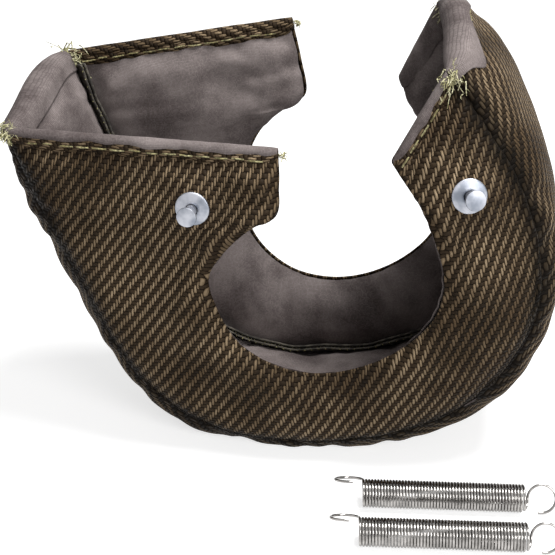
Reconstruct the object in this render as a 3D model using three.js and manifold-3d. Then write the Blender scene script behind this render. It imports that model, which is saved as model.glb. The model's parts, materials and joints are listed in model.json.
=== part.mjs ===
// Turbo heat blanket: a soft padded jacket with a C-shaped, U-section body that wraps a
// turbine housing, four lacing anchors and the two tension springs that pull it shut.
// Millimetres, +Z up. The blanket stands on its rim, open at the top, front wall towards -Y.
import * as THREE from 'three';
import { mergeVertices } from 'three/addons/utils/BufferGeometryUtils.js';
import Module from 'manifold-3d';

const wasm = await Module();
wasm.setup();

// Cloth and padding
const coverThickness = 1.0;
const liningThickness = 0.8;
const paddingLoft = 12;
const edgeRoll = 13;
const creaseRoll = 9;
const layerGap = 0.25;
const tuck = 0.15;
const rimBows = [[0, 4], [1, 5.5], [3, 9], [6, 7], [10, 5], [11, 6.5], [13, 1], [14.5, 1], [16, 4], [17, 3]];
const rimEndBows = { left: 7, right: 5 };
const netMargins = [0, 1.8, 7.5];

// Seam allowances, where two walls are stitched together inside the crease
const seamMargin = 2.8;
const allowanceDepth = 9.5;
const allowanceThickness = 1.8;
const allowanceRoot = 2.6;
const allowanceSpread = 2.3;
const allowanceWave = 1.6;
const allowanceWaves = 13;

// Hem stitches and corner tacks
const hemInset = 4.5;
const threadDiameter = 0.7;
const tackRadius = 2.0;
const tackLength = 4.4;

// Lacing anchors
const headDiameter = 7.6;
const headThickness = 1.0;
const neckDiameter = 4.2;
const standOff = 9.6;
const washerDiameter = 13.2;
const washerThickness = 0.9;
const washerDome = 0.7;
const washerCollar = 1.5;
const washerBevel = 1.2;
const retainerDiameter = 12;
const pocketDepth = 3.6;
const retainerThickness = 0.8;
const clinchDiameter = 6.8;
const clinchThickness = 0.5;
const fitGap = 0.3;
const seatDepth = 0.3;

// Tension springs
const coilDiameter = 11.2;
const wireDiameter = 1.1;
const coilPitch = 1.19;
const coilTurns = 52;
const hookDiameter = 12;
const springAngle = 3.8;
const springTilt = 27;
const springPlaces = [[73, -67.2], [73.2, -91.4]];

// Rails: front aperture edge, front seam, rear seam and rear aperture edge, left end to right end
const frontAperture = [
  [5, -40, 136], [5, -41, 123], [4, -42, 110.5], [-5, -42, 105], [-15, -43, 95.5], [-22, -43, 84],
  [-20, -43, 73], [-10, -43, 54.5], [6, -44, 45.5], [22, -44, 43.5], [39, -45, 48.5], [55, -46, 59],
  [66, -47, 73], [69, -47, 88], [65, -46, 104], [59, -44, 118], [51, -42, 129], [47.5, -40, 133.5],
];
const frontSeam = [
  [-100, -36, 138], [-95, -36, 126], [-90, -36, 112], [-84, -36, 97], [-76, -36, 79], [-65, -36, 54],
  [-49, -37, 29], [-25, -37, 12], [2, -37, 6.5], [30, -37, 8], [58, -37, 16], [83, -36, 31],
  [99, -36, 54], [105, -36, 80], [101, -35, 105], [92, -34, 127], [79, -33, 146], [65, -30, 164.5],
];
const rearSeam = [
  [-94, 36, 146], [-88.5, 36, 131], [-82.5, 36, 115], [-77, 36, 100], [-70, 36, 82], [-62, 36, 57],
  [-48, 37, 31], [-25, 37, 13], [2, 37, 6.5], [30, 37, 8], [58, 37, 16], [85, 36, 31],
  [98, 36, 54], [103, 36, 81], [101.5, 36, 107], [93, 36, 130], [80, 36, 152], [61, 36, 172],
];
const rearAperture = [
  [1, 42, 162], [5, 42, 145], [7, 42, 129.5], [0, 42, 124], [-12, 42, 113], [-19, 42, 96],
  [-20, 42, 76], [-13, 42, 59], [2, 42, 46.5], [20, 42, 43], [37, 42, 46.5], [53, 42, 56],
  [64, 42, 69], [68, 42, 86], [66, 42, 102], [58, 42, 117], [50.5, 42, 128], [46.5, 42, 139],
];
const stations = frontSeam.length - 1;

// Where the anchors stand: station along the wall, and share of the wall from its first rail
const anchorPlaces = {
  front_left: { wall: 'front', station: 1.8, share: 0.32 },
  front_right: { wall: 'front', station: 15, share: 0.46 },
  rear_left: { wall: 'rear', station: 1.1, share: 0.66 },
  rear_right: { wall: 'rear', station: 15, share: 0.45 },
};

const coverCloth = { color: 0x554632, roughness: 0.75, metalness: 0.1 };
const liningCloth = { color: 0x787072, roughness: 0.9, metalness: 0 };
const fleece = { color: 0xd8d2c2, roughness: 1, metalness: 0 };
const thread = { color: 0x9a8f55, roughness: 0.8, metalness: 0 };
const zincSteel = { color: 0xc8c8cd, roughness: 0.35, metalness: 0.9 };
const springSteel = { color: 0xb8b4ae, roughness: 0.2, metalness: 1 };

const group = new THREE.Group();

function addPart(name, geometry, finish, parent = group) {
  const mesh = new THREE.Mesh(geometry, new THREE.MeshStandardMaterial(finish));
  mesh.name = name;
  parent.add(mesh);
  return mesh;
}

// Smooth lines through the rails, read by station
function rail(points) {
  const curve = new THREE.CatmullRomCurve3(points.map((p) => new THREE.Vector3(...p)), false, 'centripetal');
  return (station) => curve.getPoint(THREE.MathUtils.clamp(station / stations, 0, 1));
}

const rails = [frontAperture, frontSeam, rearSeam, rearAperture].map(rail);
const mix = (a, b, share) => a.clone().lerp(b, share);

// The middle surface of each wall, by station and share of the way between its two rails
const walls = {
  front: {
    at: (station, share) => mix(rails[0](station), rails[1](station), share),
    seams: [false, true],
  },
  rim: { at: rimAt, seams: [true, true] },
  rear: {
    at: (station, share) => mix(rails[2](station), rails[3](station), share),
    seams: [true, false],
  },
};

// How far the rim band bows between its seams, by station
function rimBow(station) {
  const next = Math.max(1, rimBows.findIndex(([place]) => place >= station));
  const [[before, low], [after, high]] = [rimBows[next - 1], rimBows[next]];
  return THREE.MathUtils.mapLinear(station, before, after, low, high);
}

// The rim band bows outwards between its seams, and its cut ends bow past the corners
function rimAt(station, share) {
  const arch = 4 * share * (1 - share);
  const point = mix(rails[1](station), rails[2](station), share);
  const ahead = mix(rails[1](station + 0.1), rails[2](station + 0.1), share);
  const behind = mix(rails[1](station - 0.1), rails[2](station - 0.1), share);
  const along = ahead.sub(behind).normalize();
  const across = rails[2](station).sub(rails[1](station)).normalize();
  const outward = across.clone().cross(along).normalize();
  const leftEnd = Math.max(0, 1 - station) ** 2;
  const rightEnd = Math.max(0, station - (stations - 1)) ** 2;
  const endBow = rimEndBows.right * rightEnd - rimEndBows.left * leftEnd;
  return point.addScaledVector(outward, rimBow(station) * arch).addScaledVector(along, endBow * arch);
}

function normalAt(wall, station, share) {
  const step = 0.02;
  const along = wall.at(Math.min(station + step, stations), share)
    .sub(wall.at(Math.max(station - step, 0), share));
  const across = wall.at(station, Math.min(share + step, 1)).sub(wall.at(station, Math.max(share - step, 0)));
  return across.cross(along).normalize();
}

// Half of the padding at a distance from an edge: a round turned edge, or a softer crease at a seam
const turnedEdge = (d) => Math.sqrt(1 - (1 - Math.min(d / edgeRoll, 1)) ** 2);
const creasedEdge = (d) => 1 - Math.exp(-d / creaseRoll);

function wallWidth(wall, station) {
  return wall.at(station, 0).distanceTo(wall.at(station, 1));
}

// Share of the wall's width for a distance measured from its first or second rail
function marginOf(wall, side) {
  return wall.seams[side] ? seamMargin : 0;
}

function loftAt(wall, station, share) {
  const width = wallWidth(wall, station);
  const first = share * width - marginOf(wall, 0);
  const second = (1 - share) * width - marginOf(wall, 1);
  const here = wall.at(station, share);
  const toEnd = Math.min(here.distanceTo(wall.at(0, share)), here.distanceTo(wall.at(stations, share)));
  const half = paddingLoft / 2;
  const distances = [first, second].map((d) => Math.max(d, 0));
  const outer = half * turnedEdge(distances[0]) * turnedEdge(distances[1]) * turnedEdge(toEnd);
  const inward = distances.map((d, side) => (wall.seams[side] ? creasedEdge(d) : turnedEdge(d)));
  const inner = half * inward[0] * inward[1] * turnedEdge(toEnd);
  return { outer: tuck + outer, inner: tuck + inner };
}

// Stations of the net: close together at the cut ends and round the bottom
function netStations() {
  const list = [0, 0.12, 0.42, 1, 2, 3, 4];
  for (let station = 5; station < stations - 3; station += 0.5) list.push(station);
  list.push(stations - 3, stations - 2, stations - 1, stations - 0.42, stations - 0.12, stations);
  return list;
}

function netShares(wall, station) {
  const width = wallWidth(wall, station);
  const first = netMargins.map((d) => (d + marginOf(wall, 0)) / width);
  const second = netMargins.map((d) => 1 - (d + marginOf(wall, 1)) / width).reverse();
  return [...first, (first.at(-1) + second[0]) / 2, ...second];
}

function buildNet(wall) {
  return netStations().map((station) => netShares(wall, station).map((share) => ({
    point: wall.at(station, share),
    normal: normalAt(wall, station, share),
    loft: loftAt(wall, station, share),
  })));
}

// A point of a layer: so far out from the middle surface, and pressed flat by the floor
function layerPoint(knot, offset, lift) {
  const point = knot.point.clone().addScaledVector(knot.normal, offset);
  point.z = Math.max(point.z, lift);
  return point;
}

// A closed layer of cloth or padding between two offsets of the net, inset by whole net steps
function layer(net, inset, outer, inner) {
  const rows = net.slice(inset, net.length - inset);
  const sheet = rows.map((row) => row.slice(inset, row.length - inset));
  const columns = sheet[0].length;
  const positions = [];
  const faces = [];
  for (const side of [outer, inner]) {
    for (const row of sheet) {
      for (const knot of row) positions.push(...layerPoint(knot, side.offset(knot.loft), side.lift));
    }
  }
  const top = (i, j) => i * columns + j;
  const bottom = (i, j) => (i + sheet.length) * columns + j;
  const quad = (a, b, c, d) => faces.push(a, b, c, a, c, d);
  for (let i = 0; i < sheet.length - 1; i += 1) {
    for (let j = 0; j < columns - 1; j += 1) {
      quad(top(i, j), top(i, j + 1), top(i + 1, j + 1), top(i + 1, j));
      quad(bottom(i, j), bottom(i + 1, j), bottom(i + 1, j + 1), bottom(i, j + 1));
    }
    quad(top(i, 0), top(i + 1, 0), bottom(i + 1, 0), bottom(i, 0));
    quad(top(i + 1, columns - 1), top(i, columns - 1), bottom(i, columns - 1), bottom(i + 1, columns - 1));
  }
  for (let j = 0; j < columns - 1; j += 1) {
    const last = sheet.length - 1;
    quad(top(0, j + 1), top(0, j), bottom(0, j), bottom(0, j + 1));
    quad(top(last, j), top(last, j + 1), bottom(last, j + 1), bottom(last, j));
  }
  return closedGeometry(positions, faces);
}

function closedGeometry(positions, faces) {
  const geometry = new THREE.BufferGeometry();
  geometry.setAttribute('position', new THREE.Float32BufferAttribute(positions, 3));
  geometry.setIndex(faces);
  return geometry;
}

// Booleans: holes for the anchors and seats for their washers
function toSolid(geometry) {
  const plain = geometry.clone();
  plain.deleteAttribute('normal');
  plain.deleteAttribute('uv');
  const merged = mergeVertices(plain, 1e-4);
  return new wasm.Manifold(new wasm.Mesh({
    numProp: 3,
    vertProperties: new Float32Array(merged.attributes.position.array),
    triVerts: new Uint32Array(merged.index.array),
  }));
}

function toGeometry(solid) {
  const mesh = solid.getMesh();
  return closedGeometry(Array.from(mesh.vertProperties), Array.from(mesh.triVerts));
}

// A round cutter along an anchor, from one height to another above the middle surface
function cutter(anchor, diameter, low, high) {
  const cylinder = new THREE.CylinderGeometry(diameter / 2, diameter / 2, high - low, 12);
  cylinder.rotateX(Math.PI / 2).translate(0, 0, (low + high) / 2).applyMatrix4(anchor.matrix);
  return toSolid(cylinder);
}

function anchorAt(place) {
  const wall = walls[place.wall];
  const normal = normalAt(wall, place.station, place.share);
  const point = wall.at(place.station, place.share);
  const turn = new THREE.Quaternion().setFromUnitVectors(new THREE.Vector3(0, 0, 1), normal);
  const matrix = new THREE.Matrix4().compose(point, turn, new THREE.Vector3(1, 1, 1));
  const loft = loftAt(wall, place.station, place.share);
  return { wall: place.wall, point, turn, matrix, loft };
}

const anchors = Object.fromEntries(
  Object.entries(anchorPlaces).map(([name, place]) => [name, anchorAt(place)]),
);

const seatHeight = (anchor) => anchor.loft.outer + coverThickness - seatDepth;
const pocketFloor = (anchor) => pocketDepth - anchor.loft.inner;

function drillWall(geometry, wallName, cuts) {
  let solid = toSolid(geometry);
  for (const anchor of Object.values(anchors).filter((entry) => entry.wall === wallName)) {
    for (const [diameter, low, high] of cuts(anchor)) {
      solid = solid.subtract(cutter(anchor, diameter, low, high));
    }
  }
  return toGeometry(solid);
}

// Cover, padding and lining of the three walls
const coverSide = { offset: (loft) => loft.outer + coverThickness, lift: 0 };
const coverBack = { offset: (loft) => loft.outer, lift: coverThickness };
const padFront = { offset: (loft) => loft.outer - layerGap, lift: coverThickness + layerGap };
const padBack = { offset: (loft) => layerGap - loft.inner, lift: coverThickness + 2 * layerGap };
const liningBack = { offset: (loft) => -loft.inner, lift: coverThickness + 3 * layerGap };
const liningSide = { offset: (loft) => -loft.inner - liningThickness, lift: coverThickness + 4 * layerGap };

const shankCuts = (anchor) => [
  [neckDiameter + 2 * fitGap, -paddingLoft, paddingLoft],
  [washerDiameter + 2 * fitGap, seatHeight(anchor), paddingLoft],
];
const pocketCuts = (anchor) => [
  [neckDiameter + 2 * fitGap, -paddingLoft, paddingLoft],
  [retainerDiameter + 2 * fitGap, -paddingLoft, pocketFloor(anchor)],
];

for (const [name, wall] of Object.entries(walls)) {
  const net = buildNet(wall);
  const cover = layer(net, 0, coverSide, coverBack);
  const padding = layer(net, 1, padFront, padBack);
  addPart(`${name}_cover`, drillWall(cover, name, shankCuts), coverCloth);
  addPart(`${name}_insulation`, drillWall(padding, name, pocketCuts), fleece);
  addPart(`${name}_lining`, layer(net, 0, liningBack, liningSide), liningCloth);
}

// A closed bar lofted through rings of points, with flat fans on its ends
function loftRings(rings) {
  const count = rings[0].length;
  const positions = rings.flat().flatMap((p) => p.toArray());
  const faces = [];
  const at = (ring, k) => ring * count + (k % count);
  for (let ring = 0; ring < rings.length - 1; ring += 1) {
    for (let k = 0; k < count; k += 1) {
      faces.push(at(ring, k), at(ring + 1, k + 1), at(ring, k + 1));
      faces.push(at(ring, k), at(ring + 1, k), at(ring + 1, k + 1));
    }
  }
  for (const [ring, flip] of [[0, true], [rings.length - 1, false]]) {
    const middle = positions.length / 3;
    const centre = rings[ring].reduce((sum, p) => sum.add(p), new THREE.Vector3()).divideScalar(count);
    positions.push(...centre);
    for (let k = 0; k < count; k += 1) {
      const [a, b] = flip ? [at(ring, k), at(ring, k + 1)] : [at(ring, k + 1), at(ring, k)];
      faces.push(middle, a, b);
    }
  }
  return closedGeometry(positions, faces);
}

// The frame of a seam: into the crease, across it and along it
function seamFrame(first, second, station) {
  const inward = normalAt(first, station, 1).add(normalAt(second, station, 0)).normalize().negate();
  const ahead = first.at(Math.min(station + 0.05, stations), 1);
  const along = ahead.sub(first.at(Math.max(station - 0.05, 0), 1)).normalize();
  const across = along.clone().cross(inward).normalize();
  return { point: first.at(station, 1), inward, across, along };
}

// The raw edges of two walls, stitched together and standing in the crease, wavy along the free edge
function seamAllowance(first, second, phase) {
  const rings = [];
  const halfWidth = allowanceThickness / 2;
  for (let station = 0.5; station <= stations - 0.5; station += 0.5) {
    const frame = seamFrame(first, second, station);
    const wave = Math.sin((station / stations) * allowanceWaves * 2 * Math.PI + phase);
    const depth = allowanceDepth + (allowanceWave / 2) * wave;
    const lean = 0.5 * wave;
    const outline = [[-allowanceRoot / 3, 0], [allowanceRoot / 3, allowanceSpread],
      [allowanceRoot, halfWidth], [depth, halfWidth + lean], [depth, lean - halfWidth],
      [allowanceRoot, -halfWidth], [allowanceRoot / 3, -allowanceSpread]];
    rings.push(outline.map(([into, over]) => frame.point.clone()
      .addScaledVector(frame.inward, into).addScaledVector(frame.across, over)));
  }
  return loftRings(rings);
}

addPart('front_seam_allowance', seamAllowance(walls.front, walls.rim, 0), liningCloth);
addPart('rear_seam_allowance', seamAllowance(walls.rim, walls.rear, 2), liningCloth);

// Thread and wire: an extruded section along a curve
function strand(extrudePath, diameter, sides, steps) {
  const section = new THREE.Shape();
  for (let k = 0; k < sides; k += 1) {
    const angle = (k / sides) * 2 * Math.PI;
    const corner = [Math.cos(angle) * diameter / 2, Math.sin(angle) * diameter / 2];
    if (k === 0) section.moveTo(...corner);
    else section.lineTo(...corner);
  }
  return new THREE.ExtrudeGeometry(section, { steps, bevelEnabled: false, extrudePath });
}

// Station at a given distance from a cut end, on one line of the wall
function stationFromEnd(wall, end, share, distance) {
  const start = wall.at(end, share);
  const inwards = end === 0 ? 1 : -1;
  let station = end;
  while (wall.at(station, share).distanceTo(start) < distance) station += inwards * 0.02;
  return station;
}

// One row of hem stitches along a cut end, lying on the cover
function hemThread(wall, end) {
  const points = [];
  const steps = 6;
  const height = coverThickness + fitGap + threadDiameter / 2;
  for (let k = 0; k <= steps; k += 1) {
    const share = 0.13 + (0.74 * k) / steps;
    const station = stationFromEnd(wall, end, share, hemInset);
    const knot = { point: wall.at(station, share), normal: normalAt(wall, station, share) };
    points.push(layerPoint(knot, loftAt(wall, station, share).outer + height, 0));
  }
  return strand(new THREE.CatmullRomCurve3(points), threadDiameter, 4, steps);
}

const ends = { left: 0, right: stations };
for (const [name, wall] of Object.entries(walls)) {
  for (const [side, end] of Object.entries(ends)) {
    addPart(`${name}_${side}_hem_thread`, hemThread(wall, end), thread);
  }
}

// A knot of thread that tacks a corner
function tack(name, centre, along) {
  const knot = new THREE.SphereGeometry(tackRadius, 7, 5).scale(1, 1, tackLength / 2 / tackRadius);
  const mesh = addPart(name, knot, thread);
  mesh.position.copy(centre);
  mesh.quaternion.setFromUnitVectors(new THREE.Vector3(0, 0, 1), along);
}

for (const [side, end] of Object.entries(ends)) {
  const inwards = end === 0 ? 1 : -1;
  for (const [name, first, second] of [['front', walls.front, walls.rim], ['rear', walls.rim, walls.rear]]) {
    const frame = seamFrame(first, second, end + inwards * 0.12);
    tack(`${name}_${side}_corner_tack`, frame.point, frame.along);
  }
}

// Tacks beyond the aperture corners of the two left tabs
const tabCorners = { front: [walls.front, 0, 1], rear: [walls.rear, 1, 0] };
for (const [name, [wall, near, far]] of Object.entries(tabCorners)) {
  const corner = wall.at(0, near);
  const away = corner.clone().sub(wall.at(0, far)).normalize();
  const down = wall.at(0.3, near).sub(corner).normalize();
  corner.addScaledVector(away, tackRadius + fitGap).addScaledVector(down, tackLength / 2);
  tack(`${name}_tab_tack`, corner, down);
}

// Lacing anchors: a flat-headed pin, a domed washer on the cover and a retainer behind the padding
function turned(profile) {
  const points = profile.map(([radius, height]) => new THREE.Vector2(radius, height));
  return new THREE.LatheGeometry(points, 14).rotateX(Math.PI / 2);
}

function pinGeometry(anchor) {
  const neck = neckDiameter / 2;
  const head = headDiameter / 2;
  const clinch = clinchDiameter / 2;
  const top = seatHeight(anchor) + fitGap + standOff;
  const clinchTop = pocketFloor(anchor) - 2 * fitGap - retainerThickness;
  const clinchBottom = clinchTop - clinchThickness;
  return turned([[0, clinchBottom], [clinch, clinchBottom], [clinch, clinchTop], [neck, clinchTop],
    [neck, top - headThickness], [head, top - headThickness], [head, top], [0, top]]);
}

function washerGeometry(anchor) {
  const bore = neckDiameter / 2 + fitGap;
  const edge = washerDiameter / 2;
  const low = seatHeight(anchor) + fitGap;
  const high = low + washerThickness;
  return turned([[bore, low], [edge, low], [edge, low + washerThickness / 2],
    [edge - washerBevel, high], [bore + washerCollar, high + washerDome],
    [bore, high + washerDome], [bore, low]]);
}

function retainerGeometry(anchor) {
  const bore = neckDiameter / 2 + fitGap;
  const edge = retainerDiameter / 2;
  const high = pocketFloor(anchor) - fitGap;
  const low = high - retainerThickness;
  return turned([[bore, low], [edge, low], [edge, high], [bore, high], [bore, low]]);
}

for (const [name, anchor] of Object.entries(anchors)) {
  const stand = new THREE.Group();
  stand.position.copy(anchor.point);
  stand.quaternion.copy(anchor.turn);
  group.add(stand);
  addPart(`${name}_anchor_pin`, pinGeometry(anchor), zincSteel, stand);
  addPart(`${name}_anchor_washer`, washerGeometry(anchor), zincSteel, stand);
  addPart(`${name}_anchor_retainer`, retainerGeometry(anchor), zincSteel, stand);
}

// The wire of a close-wound tension spring along X: a side hook on the left end, which leaves the
// coil at its top, and on the right a hook that rises from the middle of the coil's end
class SpringWire extends THREE.Curve {
  constructor() {
    super();
    this.coilRadius = (coilDiameter - wireDiameter) / 2;
    this.hookRadius = (hookDiameter - wireDiameter) / 2;
    this.halfLength = (coilPitch * coilTurns) / 2;
    this.hookSweep = THREE.MathUtils.degToRad(285);
    this.coilSweep = (coilTurns + 0.4) * 2 * Math.PI;
    const pieces = [this.hookRadius * this.hookSweep, this.coilRadius * this.coilSweep,
      1.3 * this.coilRadius, this.hookRadius * this.hookSweep];
    const total = pieces.reduce((sum, length) => sum + length, 0);
    this.shares = pieces.map((length) => length / total);
    this.arcLengthDivisions = coilTurns * 40;
  }

  sideHook(share) {
    const angle = (1 - share) * this.hookSweep;
    const reach = this.hookRadius * (1 - Math.cos(angle));
    return new THREE.Vector3(-this.halfLength - reach, this.hookRadius * Math.sin(angle), this.coilRadius);
  }

  coil(share) {
    const angle = share * this.coilSweep;
    const along = -this.halfLength + (angle / (2 * Math.PI)) * coilPitch;
    return new THREE.Vector3(along, -this.coilRadius * Math.sin(angle), this.coilRadius * Math.cos(angle));
  }

  riser(share) {
    const start = this.coil(1);
    const end = this.centreHook(0);
    const bend = new THREE.Vector3(end.x, start.y * 0.2, start.z * 0.8);
    return new THREE.QuadraticBezierCurve3(start, bend, end).getPoint(share);
  }

  centreHook(share) {
    const angle = share * this.hookSweep;
    const reach = this.hookRadius * (1 - Math.cos(angle));
    const start = this.halfLength + 1.8 * wireDiameter;
    return new THREE.Vector3(start + reach, 0, this.hookRadius * Math.sin(angle));
  }

  getPoint(t) {
    let rest = THREE.MathUtils.clamp(t, 0, 1);
    const pieces = [this.sideHook, this.coil, this.riser, this.centreHook];
    for (let k = 0; k < pieces.length - 1; k += 1) {
      if (rest < this.shares[k]) return pieces[k].call(this, rest / this.shares[k]);
      rest -= this.shares[k];
    }
    return this.centreHook(Math.min(rest / this.shares[3], 1));
  }
}

springPlaces.forEach(([x, y], index) => {
  const wire = strand(new SpringWire(), wireDiameter, 3, 7 * (coilTurns + 2));
  const mesh = addPart(`tension_spring_${index + 1}`, wire, springSteel);
  mesh.position.set(x, y, coilDiameter / 2);
  mesh.rotation.set(THREE.MathUtils.degToRad(-springTilt), 0, THREE.MathUtils.degToRad(springAngle), 'ZYX');
});

// The origin is the middle of the whole object's footprint, on the surface that it stands on
const box = new THREE.Box3().setFromObject(group, true);
const centre = box.getCenter(new THREE.Vector3());
group.position.set(-centre.x, -centre.y, -box.min.z);

export default group;
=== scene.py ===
import json
import math
import random

import bmesh
import bpy
import numpy as np
from mathutils import Matrix, Vector, noise


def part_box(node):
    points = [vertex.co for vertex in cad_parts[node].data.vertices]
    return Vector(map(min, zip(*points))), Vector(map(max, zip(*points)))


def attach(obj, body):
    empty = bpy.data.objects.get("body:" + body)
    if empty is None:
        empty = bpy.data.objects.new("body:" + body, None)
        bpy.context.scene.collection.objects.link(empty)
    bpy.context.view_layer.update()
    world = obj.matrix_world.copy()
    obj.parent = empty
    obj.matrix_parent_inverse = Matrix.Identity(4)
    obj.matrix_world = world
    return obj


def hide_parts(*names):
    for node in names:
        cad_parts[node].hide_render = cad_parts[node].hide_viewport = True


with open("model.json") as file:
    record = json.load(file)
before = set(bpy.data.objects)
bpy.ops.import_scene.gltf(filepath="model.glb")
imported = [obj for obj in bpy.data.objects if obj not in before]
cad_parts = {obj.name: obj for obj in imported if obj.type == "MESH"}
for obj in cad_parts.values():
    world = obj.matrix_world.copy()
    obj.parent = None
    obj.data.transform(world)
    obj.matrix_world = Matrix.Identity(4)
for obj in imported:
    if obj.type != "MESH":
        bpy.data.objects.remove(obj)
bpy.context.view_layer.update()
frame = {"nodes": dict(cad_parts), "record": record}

# Camera
# The blanket is seen from a little right of its front and from above, close to, so its rear
# wall shows through the bore. The aim is the middle of the blanket, without its springs.
aim = Vector((-0.0044, 0.0209, 0.0625))
azimuth, elevation = math.radians(7), math.radians(27)
camera_distance = 0.552
focal_length = 84.97

towards_camera = Vector((math.sin(azimuth) * math.cos(elevation),
                         -math.cos(azimuth) * math.cos(elevation), math.sin(elevation)))
lens = bpy.data.cameras.new("camera")
lens.lens = focal_length
lens.sensor_width = 36
lens.clip_start = 0.01
camera = bpy.data.objects.new("camera", lens)
bpy.context.scene.collection.objects.link(camera)
camera.matrix_world = (Matrix.Translation(aim + camera_distance * towards_camera)
                       @ towards_camera.to_track_quat("Z", "Y").to_matrix().to_4x4())
bpy.context.scene.camera = camera
bpy.context.scene.view_settings.view_transform = "Standard"


# Studio
# A white floor that runs on out of sight, a broad soft lamp overhead and a weaker one low on
# the right, with a pale sky. Camera and mirror rays find the backdrop plain white.
class Pin:
    """One socket of a shader, so that shader maths reads as arithmetic."""

    def __init__(self, tree, socket):
        self.tree, self.socket = tree, socket

    def node(self, kind, inputs, settings=None, output=0):
        made = self.tree.nodes.new(kind)
        for key, value in (settings or {}).items():
            setattr(made, key, value)
        for key, value in inputs.items():
            if isinstance(value, Pin):
                self.tree.links.new(value.socket, made.inputs[key])
            else:
                made.inputs[key].default_value = value
        return Pin(self.tree, made.outputs[output])

    def maths(self, operation, *others):
        inputs = dict(enumerate((self, *others)))
        return self.node("ShaderNodeMath", inputs, {"operation": operation})

    def __add__(self, other): return self.maths("ADD", other)
    def __radd__(self, other): return self.maths("ADD", other)
    def __sub__(self, other): return self.maths("SUBTRACT", other)
    def __rsub__(self, other): return self.maths("MULTIPLY", -1).maths("ADD", other)
    def __mul__(self, other): return self.maths("MULTIPLY", other)
    def __rmul__(self, other): return self.maths("MULTIPLY", other)
    def __truediv__(self, other): return self.maths("DIVIDE", other)
    def __mod__(self, other): return self.maths("FLOORED_MODULO", other)
    def __lt__(self, other): return self.maths("LESS_THAN", other)

    def between(self, low, high):
        """A soft step from 0 at low to 1 at high."""
        settings = {"interpolation_type": "SMOOTHSTEP"}
        return self.node("ShaderNodeMapRange", {0: self, 1: low, 2: high}, settings)

    def blend(self, first, second):
        """The first colour where this pin is 0, the second where it is 1."""
        first, second = ((*c, 1) if isinstance(c, tuple) else c for c in (first, second))
        return self.node("ShaderNodeMix", {0: self, 6: first, 7: second}, {"data_type": "RGBA"}, 2)

    def place(self):
        """Where a point of the piece lies, in metres."""
        return self.node("ShaderNodeTexCoord", {}, None, "Object")

    def speckle(self, scale, detail=2.0):
        """Noise over the coordinates in this pin."""
        return self.node("ShaderNodeTexNoise", {"Vector": self, "Scale": scale, "Detail": detail})

    def parts(self):
        """The three coordinates in this pin, one by one."""
        return [self.node("ShaderNodeSeparateXYZ", {0: self}, None, k) for k in range(3)]


def finish(name, constants):
    """A new material, a pin on its nodes and its Principled shader with constant values set."""
    material = bpy.data.materials.new(name)
    material.use_nodes = True
    shader = material.node_tree.nodes["Principled BSDF"]
    for key, value in constants.items():
        shader.inputs[key].default_value = (*value, 1) if isinstance(value, tuple) else value
    return material, Pin(material.node_tree, None), shader


def feed(shader, key, pin):
    """Lets a pin drive one input of a shader."""
    pin.tree.links.new(pin.socket, shader.inputs[key])


def show(name, data):
    """Puts a mesh or a lamp in the scene as an object."""
    made = bpy.data.objects.new(name, data)
    bpy.context.scene.collection.objects.link(made)
    return made


def direct_view(pin):
    """1 for rays that come straight from the camera, a mirror or glass."""
    rays = [pin.node("ShaderNodeLightPath", {}, None, name)
            for name in ("Is Camera Ray", "Is Glossy Ray", "Is Transmission Ray")]
    return rays[0].maths("MAXIMUM", rays[1]).maths("MAXIMUM", rays[2])


floor_half_width = 6
floor_drop = 0.0002
floor_paint, pin, shader = finish("floor_paint", {
    "Base Color": (0.6, 0.6, 0.6), "Roughness": 0.95, "Specular IOR Level": 0.0,
    "Emission Strength": 1.0})
feed(shader, "Emission Color", direct_view(pin).blend((0.0, 0.0, 0.0), (0.68, 0.68, 0.68)))
bm = bmesh.new()
bmesh.ops.create_grid(bm, x_segments=1, y_segments=1, size=floor_half_width)
floor_mesh = bpy.data.meshes.new("studio_floor")
bm.to_mesh(floor_mesh)
bm.free()
floor_mesh.materials.append(floor_paint)
floor = show("studio_floor", floor_mesh)
floor.location.z = -floor_drop
lamp_target = Vector((0, 0, 0.08))


def lamp(name, place, size, power):
    """A round lamp that points at the middle of the blanket."""
    light = bpy.data.lights.new(name, "AREA")
    light.shape = "DISK"
    light.size = size
    light.energy = power
    made = show(name, light)
    made.location = place
    made.rotation_euler = (lamp_target - Vector(place)).to_track_quat("-Z", "Y").to_euler()


lamp("key_lamp", (0.3, 0.0, 1.1), 0.5, 16)
lamp("fill_lamp", (0.7, -0.85, 0.6), 0.5, 7.5)
world = bpy.data.worlds.new("studio")
bpy.context.scene.world = world
world.use_nodes = True
background = world.node_tree.nodes["Background"]
background.inputs["Color"].default_value = (1, 1, 1, 1)
feed(background, "Strength", direct_view(Pin(world.node_tree, None)) * 0.7 + 0.3)

# Cloth walls
# Three padded walls of cloth, sewn face to face and turned: the front wall, the band round the
# rim and the rear wall. Each is a twill cover outside and a plain lining inside, closed along
# its edges like a pillow over a mat of white fibre, so it swells between its seams.
cad_origin = np.array((4.421, -20.929, 0))

# The rails are the sewn edges, in millimetres, from the left end round the bottom to the right.
# A station counts along a rail from point to point, and a share across a wall from 0 to 1.
front_aperture = [
    (5, -40, 136), (5, -41, 123), (4, -42, 110.5), (-5, -42, 105), (-15, -43, 95.5),
    (-22, -43, 84), (-20, -43, 73), (-10, -43, 54.5), (6, -44, 45.5), (22, -44, 43.5),
    (39, -45, 48.5), (55, -46, 59), (66, -47, 73), (69, -47, 88), (65, -46, 104),
    (59, -44, 118), (51, -42, 129), (47.5, -40, 133.5)]
front_seam = [
    (-100, -36, 138), (-95, -36, 126), (-90, -36, 112), (-84, -36, 97), (-76, -36, 79),
    (-65, -36, 54), (-49, -37, 29), (-25, -37, 12), (2, -37, 6.5), (30, -37, 8),
    (58, -37, 16), (83, -36, 31), (99, -36, 54), (105, -36, 80), (101, -35, 105),
    (92, -34, 127), (79, -33, 146), (65, -30, 164.5)]
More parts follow.
